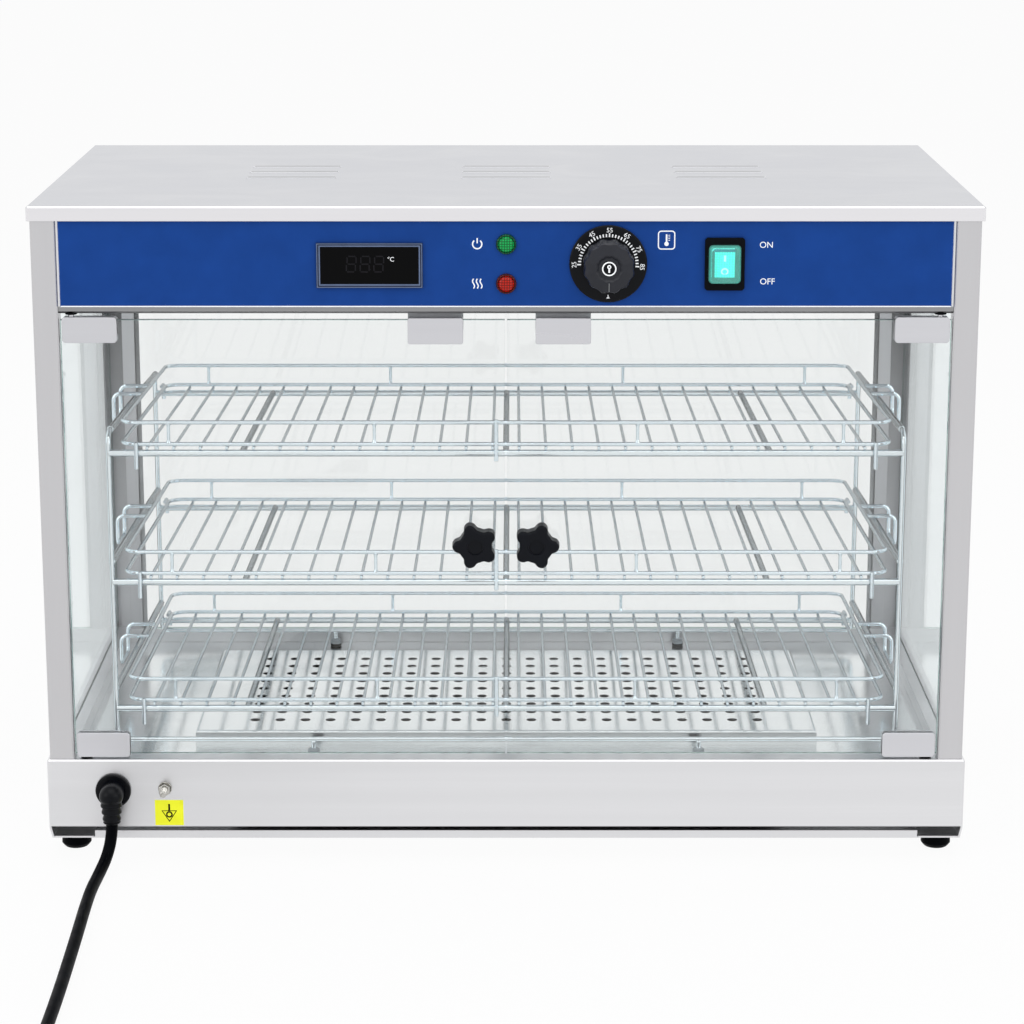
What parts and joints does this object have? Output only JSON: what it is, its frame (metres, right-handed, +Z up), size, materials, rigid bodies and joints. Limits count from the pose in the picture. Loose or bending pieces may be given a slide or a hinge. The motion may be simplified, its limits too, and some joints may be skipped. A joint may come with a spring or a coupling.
{
  "type": "heated display case",
  "caption": "Countertop heated glass display case with two hinged glass doors, a lift-out wire rack, hook-on wire shelves, a blue control fascia and a coiled mains cord.",
  "frame": {"origin": "middle of the bounding box's bottom face, on the surface that the feet stand on, cord left out", "axes": "+X to the right as seen from the doors, +Y from the doors to the back, +Z up"},
  "size_m": [0.66, 0.8187, 0.475],
  "materials": {
    "black_plastic": "matte moulded",
    "black_rubber": "soft matte",
    "chromed_fittings": "polished",
    "chromed_wire": "bright chromed wire",
    "clear_glass": "clear toughened glass",
    "copper_bulb": "plain",
    "dark_window": "glossy dark lens",
    "element_metal": "oxidised sheath",
    "fascia_blue": "semi-gloss with white print",
    "floor_steel": "bright rolled stainless",
    "green_lens": "translucent lens",
    "green_rubber": "soft translucent",
    "grey_plastic": "matte moulded",
    "magnet_case": "matte moulded",
    "red_lens": "translucent lens",
    "stainless": "brushed stainless sheet"
  },
  "bodies": {
    "cabinet": {"lid": "stainless", "header_front": "stainless", "header_panels": "stainless", "fascia_plate": "fascia_blue", "front_posts": "stainless", "rear_posts": "stainless", "side_glass": "clear_glass", "rear_glass": "clear_glass", "rear_glass_strips": "stainless", "base_shell": "stainless", "floor_pan": "floor_steel", "heater_cover": "floor_steel", "heater_tray": "stainless", "heating_element": "element_metal", "bottom_plate": "stainless", "feet": "black_rubber", "display_module": "black_plastic", "display_window": "dark_window", "power_lamp": "green_lens", "heat_lamp": "red_lens", "dial_plate": "grey_plastic", "thermostat_body": "stainless", "thermostat_bulb": "copper_bulb", "switch_body": "black_plastic", "switch_cover": "green_rubber", "door_magnets": "magnet_case", "pivot_bushes": "grey_plastic", "cord_gland": "black_plastic", "earth_stud": "chromed_fittings", "terminal_block": "magnet_case", "cord_lead": "black_rubber", "cord_coil": "black_rubber", "cord_tie": "black_plastic", "plug_body": "black_rubber", "plug_pins": "chromed_fittings"},
    "dial": {"dial_grip": "black_plastic", "dial_cap": "grey_plastic", "dial_shaft": "stainless"},
    "rocker": {"rocker": "black_plastic"},
    "rack": {"rack_posts": "chromed_wire", "rack_rails": "chromed_wire", "rack_boots": "black_rubber"},
    "door_left": {"door_glass_left": "clear_glass", "door_fittings_left": "chromed_fittings", "door_knob_left": "black_plastic", "knob_screw_left": "chromed_fittings"},
    "door_right": {"door_glass_right": "clear_glass", "door_fittings_right": "chromed_fittings", "door_knob_right": "black_plastic", "knob_screw_right": "chromed_fittings"},
    "shelf_bottom": {"shelf_grid_bottom": "chromed_wire", "shelf_guard_bottom": "chromed_wire", "shelf_hooks_bottom": "chromed_wire"},
    "shelf_middle": {"shelf_grid_middle": "chromed_wire", "shelf_guard_middle": "chromed_wire", "shelf_hooks_middle": "chromed_wire"},
    "shelf_top": {"shelf_grid_top": "chromed_wire", "shelf_guard_top": "chromed_wire", "shelf_hooks_top": "chromed_wire"}
  },
  "joints": [
    {"name": "door_left_hinge", "type": "hinge", "parent": "cabinet", "child": "door_left", "pos_m": [-0.302, -0.157, 0.237], "axis": [0, 0, -1], "range_deg": [0, 105]},
    {"name": "door_right_hinge", "type": "hinge", "parent": "cabinet", "child": "door_right", "pos_m": [0.302, -0.157, 0.237], "axis": [0, 0, 1], "range_deg": [0, 105]},
    {"name": "dial_turn", "type": "hinge", "parent": "cabinet", "child": "dial", "pos_m": [0.0707, -0.175, 0.4352], "axis": [0, 1, 0], "range_deg": [0, 275]},
    {"name": "switch_rock", "type": "hinge", "parent": "cabinet", "child": "rocker", "pos_m": [0.1511, -0.1605, 0.435], "axis": [-1, 0, 0], "range_deg": [0, 14]},
    {"name": "rack_lift", "type": "slide", "parent": "cabinet", "child": "rack", "axis": [0, 0, 1], "range_m": [0, 0.02]},
    {"name": "shelf_bottom_lift", "type": "slide", "parent": "rack", "child": "shelf_bottom", "axis": [0, 0, 1], "range_m": [0, 0.022]},
    {"name": "shelf_middle_lift", "type": "slide", "parent": "rack", "child": "shelf_middle", "axis": [0, 0, 1], "range_m": [0, 0.022]},
    {"name": "shelf_top_lift", "type": "slide", "parent": "rack", "child": "shelf_top", "axis": [0, 0, 1], "range_m": [0, 0.022]}
  ]
}
